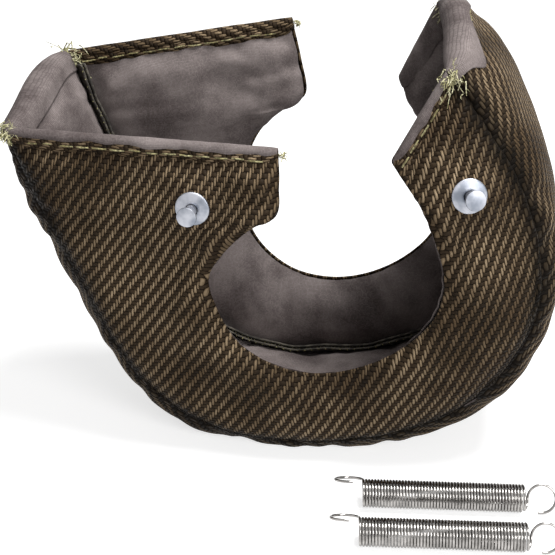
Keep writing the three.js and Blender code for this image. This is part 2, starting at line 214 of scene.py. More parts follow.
rear_seam = [
    (-94, 36, 146), (-88.5, 36, 131), (-82.5, 36, 115), (-77, 36, 100), (-70, 36, 82),
    (-62, 36, 57), (-48, 37, 31), (-25, 37, 13), (2, 37, 6.5), (30, 37, 8),
    (58, 37, 16), (85, 36, 31), (98, 36, 54), (103, 36, 81), (101.5, 36, 107),
    (93, 36, 130), (80, 36, 152), (61, 36, 172)]
rear_aperture = [
    (1, 42, 162), (5, 42, 145), (7, 42, 129.5), (0, 42, 124), (-12, 42, 113), (-19, 42, 96),
    (-20, 42, 76), (-13, 42, 59), (2, 42, 46.5), (20, 42, 43), (37, 42, 46.5), (53, 42, 56),
    (64, 42, 69), (68, 42, 86), (66, 42, 102), (58, 42, 117), (50.5, 42, 128), (46.5, 42, 139)]
last_station = len(front_seam) - 1
rim_bows = [(0, 0), (1, 2), (3, 6.5), (6, 7), (10, 5), (11, 6.5), (13, 1), (14.5, 2), (16, 6),
            (17, 8)]
rim_end_bows = {"left": 8, "right": 5}
rim_width = 73
walls = {"front": (front_aperture, front_seam), "rim": (front_seam, rear_seam),
         "rear": (rear_seam, rear_aperture)}
sewn = {"front": (False, True), "rim": (True, True), "rear": (True, False)}
anchor_spots = {"front": {"front_left": (1.8, 0.32), "front_right": (15, 0.46)}, "rim": {},
                "rear": {"rear_left": (1.1, 0.66), "rear_right": (15, 0.45)}}


def unit(vectors):
    return vectors / np.linalg.norm(vectors, axis=-1, keepdims=True)


def lengths_along(line):
    """How far along a line each of its points lies."""
    return np.concatenate([[0], np.cumsum(np.linalg.norm(np.diff(line, axis=0), axis=1))])


def rail_point(rail, station):
    """A smooth line through the rail's points, for an array of stations."""
    points = np.array(rail, float)
    points = np.vstack([2 * points[0] - points[1], points, 2 * points[-1] - points[-2]])
    station = np.clip(np.asarray(station, float), 0, last_station)
    start = np.minimum(station.astype(int), last_station - 1)
    a, b, c, d = (points[start + k] for k in range(4))
    gap = [np.linalg.norm(q - p, axis=-1, keepdims=True) ** 0.5
           for p, q in ((a, b), (b, c), (c, d))]
    leave = ((b - a) / gap[0] - (c - a) / (gap[0] + gap[1]) + (c - b) / gap[1]) * gap[1]
    arrive = ((c - b) / gap[1] - (d - b) / (gap[1] + gap[2]) + (d - c) / gap[2]) * gap[1]
    t = (station - start)[..., None]
    bend = 3 * (c - b) - 2 * leave - arrive
    return b + leave * t + bend * t ** 2 + (2 * (b - c) + leave + arrive) * t ** 3


def wall_surface(wall, station, share):
    """The middle of a wall between its two rails. The rim band bows outwards, and past its ends."""
    first, second = walls[wall]
    station, share = np.asarray(station, float), np.asarray(share, float)[..., None]
    a, b = rail_point(first, station), rail_point(second, station)
    surface = a + (b - a) * share
    if wall == "rim":
        ahead, behind = (rail_point(first, station + step) * (1 - share)
                         + rail_point(second, station + step) * share for step in (0.1, -0.1))
        along = unit(ahead - behind)
        outward = unit(np.cross(b - a, along))
        arch = 4 * share * (1 - share)
        bow = np.interp(station, *zip(*rim_bows))[..., None]
        right = rim_end_bows["right"] * np.maximum(0, station - last_station + 1)[..., None] ** 2
        left = rim_end_bows["left"] * share * np.maximum(0, 1 - station)[..., None] ** 2
        surface = surface + outward * bow * arch + along * (right - left) * arch
    return surface


def wall_frame(wall, station, share):
    """Unit vectors along a wall, from left to right, and out of it, at each point."""
    station, share = np.asarray(station, float), np.asarray(share, float)
    step = 0.02
    along = (wall_surface(wall, np.minimum(station + step, last_station), share)
             - wall_surface(wall, np.maximum(station - step, 0), share))
    across = (wall_surface(wall, station, np.minimum(share + step, 1))
              - wall_surface(wall, station, np.maximum(share - step, 0)))
    return unit(along), unit(np.cross(across, along))


# Half of the padding's thickness, how far in the edges round off, the flat hems and the seats
# of the washers, all in millimetres.
half_loft, edge_roll, crease_roll, rim_end_roll = 6.0, 11.0, 9.0, 4.5
hem_width, hem_half, hem_rise = 5.0, 1.2, 9
washer_seat, washer_reach, washer_dimple = 6.8, 7.5, 0.7
cover_thickness, lining_thickness = 0.9, 0.7
side_pucker, rim_pucker, dents = 2.3, 1.2, 1.6
# How far from a sewn seam the cover's painted crease shade reaches, in millimetres.
crease_shade = 4.5
columns, rows = 140, 32


def turned_edge(distance, roll):
    """How full a wall is at a distance from a turned edge, from 0 to 1."""
    return np.sqrt(np.clip(1 - (1 - np.minimum(distance / roll, 1)) ** 2, 0, 1))


def gathers(wall, station, share, side):
    """How far the padding puckers, in millimetres: pulls that run off the sewn edges, and dents."""
    seed = list(walls).index(wall) * 7.3 + side * 2.1
    pucker = rim_pucker if wall == "rim" else side_pucker
    depth = []
    for s, t in zip(station.ravel(), share.ravel()):
        pulls = [noise.noise((s * 2.1, seed + k, 0.4)) + 0.7 * noise.noise((s * 5.3, seed + k, 5.4))
                 for k in (0, 3)]
        pull = pulls[0] * math.exp(-t * 4) + pulls[1] * math.exp(-(1 - t) * 4)
        depth.append(pucker * pull + dents * noise.noise((s * 0.8, t * 2.6, seed)))
    return np.array(depth).reshape(station.shape)


def wall_width(wall, station, share):
    """How wide a wall is from rail to rail at each point."""
    return np.linalg.norm(wall_surface(wall, station, np.ones_like(share))
                          - wall_surface(wall, station, np.zeros_like(share)), axis=-1)


def wall_loft(wall, station, share, side):
    """Half of a wall's thickness: pillow edges, flat hems at the cut ends, flats under washers."""
    station, share = np.asarray(station, float), np.asarray(share, float)
    width = wall_width(wall, station, share)
    here = wall_surface(wall, station, share)
    left, right = (wall_surface(wall, np.full_like(station, stop), share)
                   for stop in (0.0, float(last_station)))
    end = np.minimum(np.linalg.norm(here - left, axis=-1), np.linalg.norm(here - right, axis=-1))
    swell = 1.0
    for distance, seam in zip((share * width, (1 - share) * width), sewn[wall]):
        if seam and side < 0:
            swell = swell * (1 - np.exp(-distance / crease_roll))
        else:
            swell = swell * turned_edge(distance, edge_roll)
    pucker = 1 + gathers(wall, station, share, side) / half_loft
    if wall == "rim":
        return half_loft * swell * turned_edge(end, rim_end_roll) * pucker
    hem = hem_half * np.clip(end, 0, 1) * np.minimum(1, 3 * swell)
    rise = np.clip((end - hem_width) / hem_rise, 0, 1)
    rise = rise * rise * (3 - 2 * rise)
    half = hem * (1 - rise) + half_loft * swell * rise * pucker
    for spot in anchor_spots[wall].values():
        reach = np.linalg.norm(here - wall_surface(wall, spot[0], spot[1]), axis=-1)
        seat = washer_seat if side > 0 else half_loft - washer_dimple
        half = half + (seat - half) * np.exp(-(reach / washer_reach) ** 4)
    return half


def to_frame(points):
    """From the blanket's millimetres to the frame's metres."""
    return (np.asarray(points) - cad_origin) / 1000


def cloth_pattern(wall, station, share, middle):
    """Where each point lay on the flat cloth. The side walls' yarns fan out from far above."""
    if wall == "rim":
        stations = np.linspace(0, last_station, 400)
        travel = lengths_along(rail_point(front_seam, stations))
        return np.stack([share * rim_width, np.interp(station, stations, travel)], 1)
    swing, fan_x, fan_z = 535, -21, 80
    beside, below = middle[:, 0] - fan_x, swing + fan_z - middle[:, 2]
    return np.stack([swing * np.arctan2(beside, below), swing - np.hypot(beside, below)], 1)


def wall_side(wall, side):
    """One side of a wall as a grid of cloth, with its cutting pattern as its UV map."""
    bm = bmesh.new()
    bmesh.ops.create_grid(bm, x_segments=columns, y_segments=rows, size=0.5)
    place = np.array([vert.co[:2] for vert in bm.verts]) + 0.5
    place = np.stack([place[:, 0], 0.5 - 0.5 * np.cos(np.pi * (0.12 + 0.76 * place[:, 1]))], 1)
    low, high = place[:, 1].min(), place[:, 1].max()
    place[:, 1] = (place[:, 1] - low) / (high - low)
    station, share = place[:, 0] * last_station, place[:, 1]
    middle = wall_surface(wall, station, share)
    border = (place.min(axis=1) < 1e-6) | (place.max(axis=1) > 1 - 1e-6)
    loft = np.where(border, 0, wall_loft(wall, station, share, side))
    points = middle + wall_frame(wall, station, share)[1] * (side * loft)[:, None]
    points[:, 2] = np.maximum(points[:, 2], 0.0 if side > 0 else 3.0)
    pattern = cloth_pattern(wall, station, share, middle) / 100
    uv = bm.loops.layers.uv.new("pattern")
    # The crease value marks painted shade: it darkens the cover's colour near its sewn seams.
    crease = bm.verts.layers.float.new("crease")
    width = wall_width(wall, station, share)
    from_seam = np.min([np.where(seam, part * width, 99)
                        for seam, part in zip(sewn[wall], (share, 1 - share))], 0)
    for vert, point, gap in zip(bm.verts, to_frame(points), from_seam):
        vert.co = point
        vert[crease] = math.exp(-(gap / crease_shade) ** 2)
    bm.verts.index_update()
    for face in bm.faces:
        face.material_index = 0 if side > 0 else 1
        face.smooth = True
        for loop in face.loops:
            loop[uv].uv = pattern[loop.vert.index]
    return bm


def pillow(wall):
    """Both sides of a wall, joined along their border."""
    bm = wall_side(wall, 1)
    inner = wall_side(wall, -1)
    inner_mesh = bpy.data.meshes.new("inner")
    inner.to_mesh(inner_mesh)
    inner.free()
    bm.from_mesh(inner_mesh)
    bpy.data.meshes.remove(inner_mesh)
    bmesh.ops.remove_doubles(bm, verts=[vert for vert in bm.verts if vert.is_boundary], dist=1e-5)
    bmesh.ops.recalc_face_normals(bm, faces=bm.faces)
    mesh = bpy.data.meshes.new(f"{wall}_pillow")
    bm.to_mesh(mesh)
    bm.free()
    return show(f"{wall}_pillow", mesh)


def near_line(points, line, reach):
    """Which points lie within reach of a line."""
    return np.array([np.min(np.sum((line - point) ** 2, axis=1)) < reach ** 2 for point in points])


def sewn_down(wall, mesh):
    """What is held while the cloth settles: the borders, the hems and the washers' seats."""
    points = np.array([vert.co for vert in mesh.vertices]) * 1000 + cad_origin
    grid = np.linspace(0, last_station, 600)
    across = np.linspace(0, 1, 80)
    held = np.zeros(len(points), bool)
    for share in (0.0, 1.0):
        held |= near_line(points, wall_surface(wall, grid, np.full_like(grid, share)), 0.8)
    for end in (0.0, float(last_station)):
        reach = 14 if wall == "rim" else hem_width + 1
        held |= near_line(points, wall_surface(wall, np.full_like(across, end), across), reach)
    for spot in anchor_spots[wall].values():
        held |= np.linalg.norm(points - wall_surface(wall, spot[0], spot[1]), axis=1) < 10.5
    return held


def settle(piece, held, pressure, slack, cap):
    """Blows the pillow up as slack cloth, with its sewn lines held, and keeps the result."""
    scale = 10.0
    mesh = piece.data
    rest = np.array([vert.co for vert in mesh.vertices])
    for vert in mesh.vertices:
        ripple = (noise.noise_vector(vert.co * 90) * 0.0004
                  + noise.noise_vector(vert.co * 35) * 0.0006)
        vert.co = (vert.co + ripple * (not held[vert.index])) * scale
    group = piece.vertex_groups.new(name="sewn")
    group.add([int(index) for index in np.flatnonzero(held)], 1.0, "REPLACE")
    cloth = piece.modifiers.new("cloth", "CLOTH")
    settings = cloth.settings
    settings.quality = 6
    settings.mass = 0.3
    settings.tension_stiffness = settings.compression_stiffness = 30
    settings.shear_stiffness = 12
    settings.bending_stiffness = 1.5
    settings.tension_damping = settings.compression_damping = 10
    settings.vertex_group_mass = "sewn"
    settings.pin_stiffness = 1
    settings.use_pressure = True
    settings.uniform_pressure_force = pressure
    settings.shrink_min = -slack
    settings.effector_weights.gravity = 0
    cloth.collision_settings.use_collision = False
    for step in range(1, 21):
        bpy.context.scene.frame_set(step)
    settled = piece.evaluated_get(bpy.context.evaluated_depsgraph_get())
    moved = np.array([vert.co for vert in settled.to_mesh().vertices]) / scale
    settled.to_mesh_clear()
    piece.modifiers.remove(cloth)
    bpy.context.scene.frame_set(1)
    shift = moved - rest
    length = np.linalg.norm(shift, axis=1, keepdims=True)
    shift *= cap * np.tanh(length / cap) / np.maximum(length, 1e-9)
    for vert, point in zip(mesh.vertices, rest + shift):
        vert.co = point
        vert.co.z = max(vert.co.z, 0.0)
    piece.vertex_groups.clear()


def layer(body, name, side, thickness, material):
    """The cover or the lining of a wall, cut from its pillow and given the cloth's thickness."""
    bm = bmesh.new()
    bm.from_mesh(body.data)
    wrong = [face for face in bm.faces if face.material_index != (0 if side > 0 else 1)]
    bmesh.ops.delete(bm, geom=wrong, context="FACES")
    for face in bm.faces:
        face.material_index = 0
    if side < 0:
        # The lining's border is drawn back from the seams, so that it doesn't show outside.
        inner = {vert: [edge.other_vert(vert).co.copy() for edge in vert.link_edges
                        if not edge.is_boundary]
                 for vert in bm.verts if vert.is_boundary}
        for vert, neighbours in inner.items():
            if neighbours:
                vert.co = vert.co.lerp(neighbours[0], 0.8)
    mesh = bpy.data.meshes.new(name)
    bm.to_mesh(mesh)
    bm.free()
    mesh.materials.append(material)
    made = show(name, mesh)
    finish_cloth(made, thickness, -1)
    return made


def finish_cloth(piece, thickness, offset):
    """Smooths a piece of cloth and thickens it, inwards for an offset of -1, both ways for 0."""
    smooth = piece.modifiers.new("smooth", "SUBSURF")
    smooth.levels = smooth.render_levels = 1
    shell = piece.modifiers.new("thickness", "SOLIDIFY")
    shell.thickness = thickness / 1000
    shell.offset = offset


def emboss(shader, height, strength, depth):
    """Lets a pin's height dent or raise the surface, by up to a depth in metres."""
    inputs = {"Height": height, "Strength": strength, "Distance": depth}
    feed(shader, "Normal", height.node("ShaderNodeBump", inputs))


# The weave comes from the UV map, which holds the cutting pattern in decimetres. The cover is a
# 2/2 twill: each warp yarn passes over two weft yarns and under two, one step on from the last.
twill_pitch, twill_rise = 1.05, 1.57
plain_pitch = 0.52
# Painted highlight colour: the glints of light on the warp floats' crowns are painted into the
# colour.
painted_lustre = (0.6, 0.47, 0.31)
bronze = (0.115, 0.077, 0.043)
# The weft floats are painted dark: a painted shade for yarns turned away from the light, while the
# warp floats keep the cloth's bronze.
weft_painted_shade = (0.013, 0.009, 0.006)
# Painted shade: the near-black of the gaps between the yarns, also used for the creases by the sewn
# seams.
painted_deep_shade = (0.002, 0.0015, 0.001)

cover_cloth, pin, shader = finish("cover_cloth", {"Specular IOR Level": 0.04})
spots = pin.place()
flat = pin.node("ShaderNodeUVMap", {}, {"uv_map": "pattern"})
u, v, _ = flat.parts()
u = u * (100 / twill_pitch) + flat.speckle(22.0) * 0.9
v = v * (100 / twill_pitch / twill_rise) + flat.speckle(17.0) * 0.9
column, row = u.maths("FLOOR"), v.maths("FLOOR")
warp = (column - row) % 4 < 2
over_warp = (v - column + 1) % 4
over_weft = (u - row - 2) % 4
travel = over_weft + warp * (over_warp - over_weft)
crown = (travel * (math.pi / 2)).maths("SINE").maths("MAXIMUM", 0)
off_warp = (u - column - 0.5).maths("ABSOLUTE")
off_weft = (v - row - 0.5).maths("ABSOLUTE")
off = off_weft + warp * (off_warp - off_weft)
height = (1 - off * off * 4) * (0.3 + 0.7 * crown)
floating = pin.node("ShaderNodeCombineXYZ", {0: column, 1: ((v - column + 1) / 4).maths("FLOOR")})
chance = pin.node("ShaderNodeTexWhiteNoise", {"Vector": floating})
tone = spots.speckle(34.0, 3.0).between(0.32, 0.68)
# Painted sheen: random patches where the yarns are painted lighter, as if lit.
painted_sheen = tone * 0.4
# Painted shade in the creases: the cover's colour turns dark near its sewn seams.
crease = pin.node("ShaderNodeAttribute", {}, {"attribute_name": "crease"}, "Fac")
# Warp floats are bronze with random tone; weft floats lean to the painted shade, lifted a little by
# painted sheen and random tone.
bronze_or_painted_shade = warp * (0.6 + 0.4 * tone) + (1 - warp) * (painted_sheen * 0.45 + chance * 0.12)
# Painted highlight on the crowns of warp floats, within the sheen's patches, varied at random per
# float.
painted_highlight = painted_sheen * (0.4 + 0.6 * chance) * height.between(0.1, 0.8) * warp
yarn = painted_highlight.blend(bronze_or_painted_shade.blend(weft_painted_shade, bronze), painted_lustre)
# The gaps between the yarns are painted dark, as shade.
yarn = height.between(0.02, 0.45).blend(painted_deep_shade, yarn)
# The crease value blends in the painted shade near the seams.
feed(shader, "Base Color", (crease * 0.92).blend(yarn, painted_deep_shade))
feed(shader, "Roughness", 0.8 - height * 0.35)
feed(shader, "Metallic", warp * height * 0.4)
emboss(shader, height, 0.8, 0.0006)

lining_cloth, pin, shader = finish("lining_cloth", {"Roughness": 0.92, "Specular IOR Level": 0.1})
spots = pin.place()
flat = pin.node("ShaderNodeUVMap", {}, {"uv_map": "pattern"})
u, v, _ = flat.parts()
u = u * (100 / plain_pitch) + flat.speckle(30.0) * 1.2
v = v * (100 / plain_pitch) + flat.speckle(26.0) * 1.2
column, row = u.maths("FLOOR"), v.maths("FLOOR")
warp = (column + row) % 2 < 0.5
off_warp = (u - column - 0.5).maths("ABSOLUTE")
off_weft = (v - row - 0.5).maths("ABSOLUTE")
off = off_weft + warp * (off_warp - off_weft)
ends = off_warp + warp * (off_weft - off_warp)
height = (1 - off * off * 4) * (1 - ends * ends * 3)
cell = pin.node("ShaderNodeCombineXYZ", {0: column, 1: row})
chance = pin.node("ShaderNodeTexWhiteNoise", {"Vector": cell})
tone = spots.speckle(42.0, 4.0).between(0.35, 0.65)
cloth = (tone * 0.7 + chance * 0.3).blend((0.075, 0.06, 0.058), (0.25, 0.214, 0.205))
# The gaps between the lining's yarns are painted dark, as shade.
feed(shader, "Base Color", height.between(-0.3, 0.6).blend((0.04, 0.031, 0.03), cloth))
emboss(shader, height, 0.3, 0.0002)

for wall in walls:
    body = pillow(wall)
    settle(body, sewn_down(wall, body.data), pressure=3, slack=0.035, cap=0.0022)
    cover = layer(body, f"{wall}_cover_twill", 1, cover_thickness, cover_cloth)
    lining = layer(body, f"{wall}_lining_cloth", -1, lining_thickness, lining_cloth)
    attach(cover, "root")
    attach(lining, "root")
    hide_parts(f"{wall}_cover", f"{wall}_insulation")
    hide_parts(f"{wall}_lining")
    bpy.data.objects.remove(body)

# Hems
# The cut ends of the walls are folded and sewn down. The lining rolls over the end onto a fold
# of the cover, except on the left of the rear wall, where the cover rolls inwards.
# Each cross-section gives how far its points lie beyond the end and how far out of the wall.
lining_roll = [(-8, -1.5), (-6, -2.1), (-3.6, -2.6), (-1.4, -2.3), (0.2, -1.2), (0.6, 0.3),
               (-0.2, 1.9), (-1.6, 2.5), (-2.8, 2.0), (-3.1, 1.0)]
cover_fold = [(-2.0, 1.1), (-2.6, 2.1), (-3.4, 2.5), (-4.7, 2.3), (-5.8, 1.9), (-7.0, 1.3)]
ends = {"left": 0.0, "right": float(last_station)}


def end_frame(wall, end, share):
    """The cut end's line, and unit vectors past it and out of the wall."""
    station = np.full_like(share, ends[end])
    along, outward = wall_frame(wall, station, share)
    return wall_surface(wall, station, share), along * (1 if end == "right" else -1), outward


def grid_piece(name, points, pattern, thickness, material):
    """A strip of cloth through a grid of points in millimetres."""
    bm = bmesh.new()
    count_u, count_v = points.shape[:2]
    bmesh.ops.create_grid(bm, x_segments=count_u - 1, y_segments=count_v - 1, size=0.5)
    uv = bm.loops.layers.uv.new("pattern")
    knots = {}
    for vert in bm.verts:
        i = round((vert.co.x + 0.5) * (count_u - 1))
        j = round((vert.co.y + 0.5) * (count_v - 1))
        knots[vert] = (i, j)
    for vert, (i, j) in knots.items():
        vert.co = to_frame(points[i, j])
    for face in bm.faces:
        face.smooth = True
        for loop in face.loops:
            loop[uv].uv = pattern[knots[loop.vert]] / 100
    mesh = bpy.data.meshes.new(name)
    bm.to_mesh(mesh)
    bm.free()
    mesh.materials.append(material)
    made = show(name, mesh)
    finish_cloth(made, thickness, 0)
    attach(made, "root")
    return made


def hem_strip(name, wall, end, section, flip, wobble, seed, material):
    """Runs a cross-section along a cut end, swollen and pinched a little as cloth is."""
    share = np.linspace(0.0, 1.0, 60)
    line, past, outward = end_frame(wall, end, share)
    width = lengths_along(line)
    swell = np.array([1 + wobble * noise.noise((w / 9, seed, 0.5)) + wobble * 0.6
                      * noise.noise((w / 4, seed, 7.5)) for w in width])[:, None]
    swell = swell * (1 - 0.45 * np.exp(-np.minimum(width, width[-1] - width) / 2.5))[:, None]
    points = np.stack([line + past * swell * beyond + outward * (flip * out * swell)
                       for beyond, out in section], 1)
    travel = lengths_along(np.array(section))
    pattern = np.stack(np.broadcast_arrays(travel[None, :], width[:, None]), 2)
    return grid_piece(name, points, pattern, lining_thickness, material)


hems = [("front", "left", 1, lining_cloth), ("front", "right", 1, lining_cloth),
        ("rear", "left", -1, cover_cloth), ("rear", "right", 1, lining_cloth)]
for seed, (wall, end, flip, rolled) in enumerate(hems):
    name = f"{wall}_{end}_hem"
    roll = hem_strip(f"{name}_roll", wall, end, lining_roll, flip, 0.3, seed, rolled)
    fold = hem_strip(f"{name}_fold", wall, end, cover_fold, flip, 0.15, seed + 20, cover_cloth)


def rim_lap(end, reach_in, reach_out):
    """The rim's lining, drawn over the thick cut end and sewn to the cover in a wavy line."""
    share = np.linspace(0.0, 1.0, 60)
    stations = np.linspace(0, 2.2, 80)
    if end == "right":
        stations = last_station - stations
    strips, travel = [], []
    for s in share:
        reach = np.linalg.norm(wall_surface("rim", stations, np.full_like(stations, s))
                               - wall_surface("rim", stations[0], s), axis=1)
        steps = np.concatenate([np.linspace(-reach_in, 0, 7), np.linspace(0, reach_out(s), 9)[1:]])
        here = np.interp(np.abs(steps), reach, stations)
        at = np.full_like(here, s)
        side = np.where(steps < 0, -1.0, 1.0)
        loft = np.where(steps < 0, wall_loft("rim", here, at, -1), wall_loft("rim", here, at, 1))
        along, outward = wall_frame("rim", here, at)
        past = along * (1 if end == "right" else -1)
        lift = 0.45 + 0.35 * np.exp(-(steps / 3) ** 2)
        round_off = np.exp(-(steps / 1.6) ** 2)
        out = side * (loft + lift * (1 - round_off))
        strips.append(wall_surface("rim", here, at) + outward * out[:, None]
                      + past * (lift * round_off)[:, None])
        travel.append(steps)
    points = np.stack(strips)
    points[..., 2] = np.maximum(points[..., 2], 0.3)
    across = np.broadcast_to(share[:, None] * rim_width, points.shape[:2])
    pattern = np.stack([across, np.stack(travel)], 2)
    lap = grid_piece(f"rim_{end}_lining_lap", points, pattern, 0.6, lining_cloth)


rim_lap("right", 9, lambda s: 4.5 + 8 * math.exp(-((s - 0.2) / 0.09) ** 2) + 1.5 * math.sin(11 * s))
rim_lap("left", 9, lambda s: 5 + 2 * math.sin(9 * s) - 3 * math.exp(-((s - 0.4) / 0.1) ** 2))

# Sewing thread
# Olive-yellow twisted fibre thread: a row of long stitches along each hem, and the knotted,
# frayed thread ends that stick out at the corners where the rows are tacked.
thread_shades = {"stitch_thread": ((0.05, 0.042, 0.015), (0.26, 0.22, 0.09), (0.42, 0.38, 0.2)),
                 "frayed_thread": ((0.13, 0.12, 0.04), (0.5, 0.47, 0.22), (0.72, 0.68, 0.47))}
threads = {}
for name, (dark, olive, cream) in thread_shades.items():
    threads[name], pin, shader = finish(name, {"Roughness": 0.8})
    spots = pin.place()
    tone = spots.speckle(900.0, 2.0).between(0.3, 0.7)
    pale = spots.speckle(160.0, 2.0).between(0.35, 0.65).blend(olive, cream)
    feed(shader, "Base Color", tone.blend(dark, pale))
    emboss(shader, tone, 0.4, 0.0002)


def strands(name, lines, sides, material):
    """One mesh of many thin tubes. Each line is a list of points in metres with their radii."""
    curve = bpy.data.curves.new(name, "CURVE")
    curve.dimensions = "3D"
    curve.bevel_depth = 1.0
    curve.bevel_resolution = max(0, sides // 2 - 2)
    curve.use_fill_caps = True
    for line in lines:
        spline = curve.splines.new("POLY")
        spline.points.add(len(line) - 1)
        for knot, (point, radius) in zip(spline.points, line):
            knot.co = (*point, 1)
            knot.radius = radius
    rough = bpy.data.objects.new(name, curve)
    mesh = bpy.data.meshes.new_from_object(rough)
    bpy.data.objects.remove(rough)
    bpy.data.curves.remove(curve)
    mesh.name = name
    mesh.materials.clear()
    mesh.materials.append(material)
    for face in mesh.polygons:
        face.use_smooth = True
        face.material_index = 0
    made = show(name, mesh)
    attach(made, "root")
    return made


stitch_length, stitch_gap, thread_radius = 5.2, 1.4, 0.34


def point_along(at, lengths, line):
    """The point that lies a given length along a line."""
    return np.array([np.interp(at, lengths, line[:, axis]) for axis in range(3)])


def hem_stitches(wall, end, flip, inset, height, seed):
    """Dashes of thread along a hem, dipping into the cloth at their ends."""
    share = np.linspace(0.05, 0.95, 400)
    line, past, outward = end_frame(wall, end, share)
    width = lengths_along(line)
    chance = random.Random(seed)
    start, lines = 0.0, []
    while start + stitch_length < width[-1]:
        length = stitch_length * chance.uniform(0.8, 1.15)
        sway = chance.uniform(-0.3, 0.3)
        stitch = []
        for k in range(7):
            at = start + length * k / 6
            base, beyond, out = (point_along(at, width, part) for part in (line, past, outward))
            rise = height + 0.45 * math.sin(math.pi * k / 6) - 0.25
            wave = inset + sway + 0.25 * noise.noise((at / 8, seed, 0.5))
            point = base - beyond * wave + out * flip * rise
            stitch.append((to_frame(point), thread_radius / 1000))
        lines.append(stitch)
        start += length + stitch_gap
    return lines


stitched = {("front", "left"): (1, 4.3, 2.7), ("front", "right"): (1, 4.3, 2.7),
            ("rear", "left"): (-1, 4.3, 2.7), ("rear", "right"): (1, 4.3, 2.7),
            ("rim", "left"): (1, 4.8, 5.6), ("rim", "right"): (1, 4.8, 5.6)}
for seed, ((wall, end), (flip, inset, height)) in enumerate(stitched.items()):
    stitches = hem_stitches(wall, end, flip, inset, height, seed)
    row = strands(f"{wall}_{end}_hem_stitches", stitches, 6, threads["stitch_thread"])
    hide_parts(f"{wall}_{end}_hem_thread")


def tuft(name, node, lean, count, length, spread, seed):
    """Frayed thread ends that spring from a corner tack, curling as they go."""
    low, high = (Vector(corner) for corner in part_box(node))
    centre = (low + high) / 2
    chance = random.Random(seed)
    lean = Vector(lean).normalized()
    lines = []
    for _ in range(count):
        start = centre + Vector([chance.gauss(0, 1) for _ in range(3)]) * 0.0011 * spread
        aimed = (lean + Vector([chance.gauss(0, 0.75) for _ in range(3)])).normalized()
        curl = Vector([chance.gauss(0, 1) for _ in range(3)]) * 0.45
        reach = length / 1000 * chance.uniform(0.35, 1.0)
        radius = chance.uniform(0.16, 0.36) / 1000
        line = []
        for k in range(6):
            t = k / 5
            bend = aimed * t + curl * t * t * 0.6 - Vector((0, 0, 0.25)) * t * t
            line.append((start + bend * reach, radius * (1 - 0.55 * t)))
        lines.append(line)
    made = strands(name, lines, 4, threads["frayed_thread"])
    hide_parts(node)


tuft("front_left_corner_tuft", "front_left_corner_tack", (0.5, -0.6, -0.1), 110, 4.5, 1.6, 1)
tuft("rear_left_corner_tuft", "rear_left_corner_tack", (0.3, -0.8, -0.6), 150, 6.5, 2.2, 2)
tuft("front_right_corner_tuft", "front_right_corner_tack", (-0.2, -0.8, -0.2), 140, 5, 2.0, 3)
tuft("rear_right_corner_tuft", "rear_right_corner_tack", (-0.2, -0.6, -0.5), 90, 5, 1.5, 4)
tuft("front_tab_tuft", "front_tab_tack", (-0.8, -0.4, 0.1), 24, 2.2, 0.5, 5)
tuft("rear_tab_tuft", "rear_tab_tack", (-0.8, -0.5, -0.1), 24, 2.2, 0.5, 6)

# Seam allowances
# Inside each crease stand the raw edges of the two walls that are sewn together there, about
# 9 mm deep, wavy along the free edge and whipped with the same thread against fraying.
raw_edge, pin, shader = finish("raw_edge", {"Roughness": 0.95})
spots = pin.place()
tone = spots.speckle(420.0, 4.0).between(0.35, 0.7)
feed(shader, "Base Color", tone.blend((0.02, 0.017, 0.014), (0.1, 0.088, 0.07)))
emboss(shader, tone, 0.6, 0.0004)
allowance_depth, allowance_thickness = 9.0, 0.8
whip_pitch, whip_radius = 1.7, 0.3


def seam_frame(first, second, station):
    """The seam's line, and unit vectors into the crease and across it."""
    one = np.ones_like(station)
    inward = -unit(wall_frame(first, station, one)[1] + wall_frame(second, station, 0 * one)[1])
    across = unit(np.cross(wall_frame(first, station, one)[0], inward))
    return wall_surface(first, station, one), inward, across


def seam_fins(name, first, second, node, seed):
    """The two raw edges of a seam, side by side, and the thread that whips them together."""
    station = np.linspace(0.35, last_station - 0.35, 260)
    line, inward, across = seam_frame(first, second, station)
    length = lengths_along(line)
    wave = np.array([noise.noise((w / 13, seed, 0.2)) + 0.6 * noise.noise((w / 6, seed, 4.2))
                     for w in length])
    depth = allowance_depth + 1.6 * wave
    lean = 1.6 * np.array([noise.noise((w / 17, seed, 9.2)) for w in length])
    for side, face in ((-1, "front"), (1, "back")):
        strips = []
        for t in np.linspace(0.06, 1, 6):
            offset = side * (0.35 + 0.5 * t * t) + lean * t * t
            strips.append(line + inward * (depth * t)[:, None] + across * offset[:, None])
        points = np.stack(strips, 1)
        travel = np.linspace(0, allowance_depth, 6)
        pattern = np.stack(np.broadcast_arrays(length[:, None], travel[None, :]), 2)
        fin = grid_piece(f"{name}_{face}", points, pattern, allowance_thickness, raw_edge)
        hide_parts(node)
    whip = []
    for k, at in enumerate(np.arange(1, length[-1] - 1, whip_pitch)):
        base, into, over = (point_along(at, length, part) for part in (line, inward, across))
        deep, leaned = np.interp(at, length, depth), np.interp(at, length, lean)
        side = 1 if k % 2 else -1
        down = (0.2 if side > 0 else -3.2) + 0.5 * noise.noise((at / 3, seed, 2.5))
        point = base + into * (deep + down) + over * (leaned + side * 1.5)
        whip.append((to_frame(point), whip_radius / 1000))
    overlock = strands(f"{name}_whipping", [whip], 5, threads["stitch_thread"])


seam_fins("front_seam_edge", "front", "rim", "front_seam_allowance", 31)
seam_fins("rear_seam_edge", "rim", "rear", "rear_seam_allowance", 47)

# Lacing anchors
# Turned and pressed steel, zinc plated: a flat-headed pin through the wall, a domed washer on
# the cover and a retainer that the pin's foot is clinched over behind the padding.
zinc, pin, shader = finish("zinc_plate", {"Metallic": 1.0})
spots = pin.place()
tone = spots.speckle(150.0, 3.0).between(0.35, 0.65)
feed(shader, "Base Color", tone.blend((0.22, 0.24, 0.28), (0.46, 0.47, 0.51)))
feed(shader, "Roughness", 0.44 + 0.12 * tone)
emboss(shader, spots.speckle(2600.0), 0.1, 0.0001)

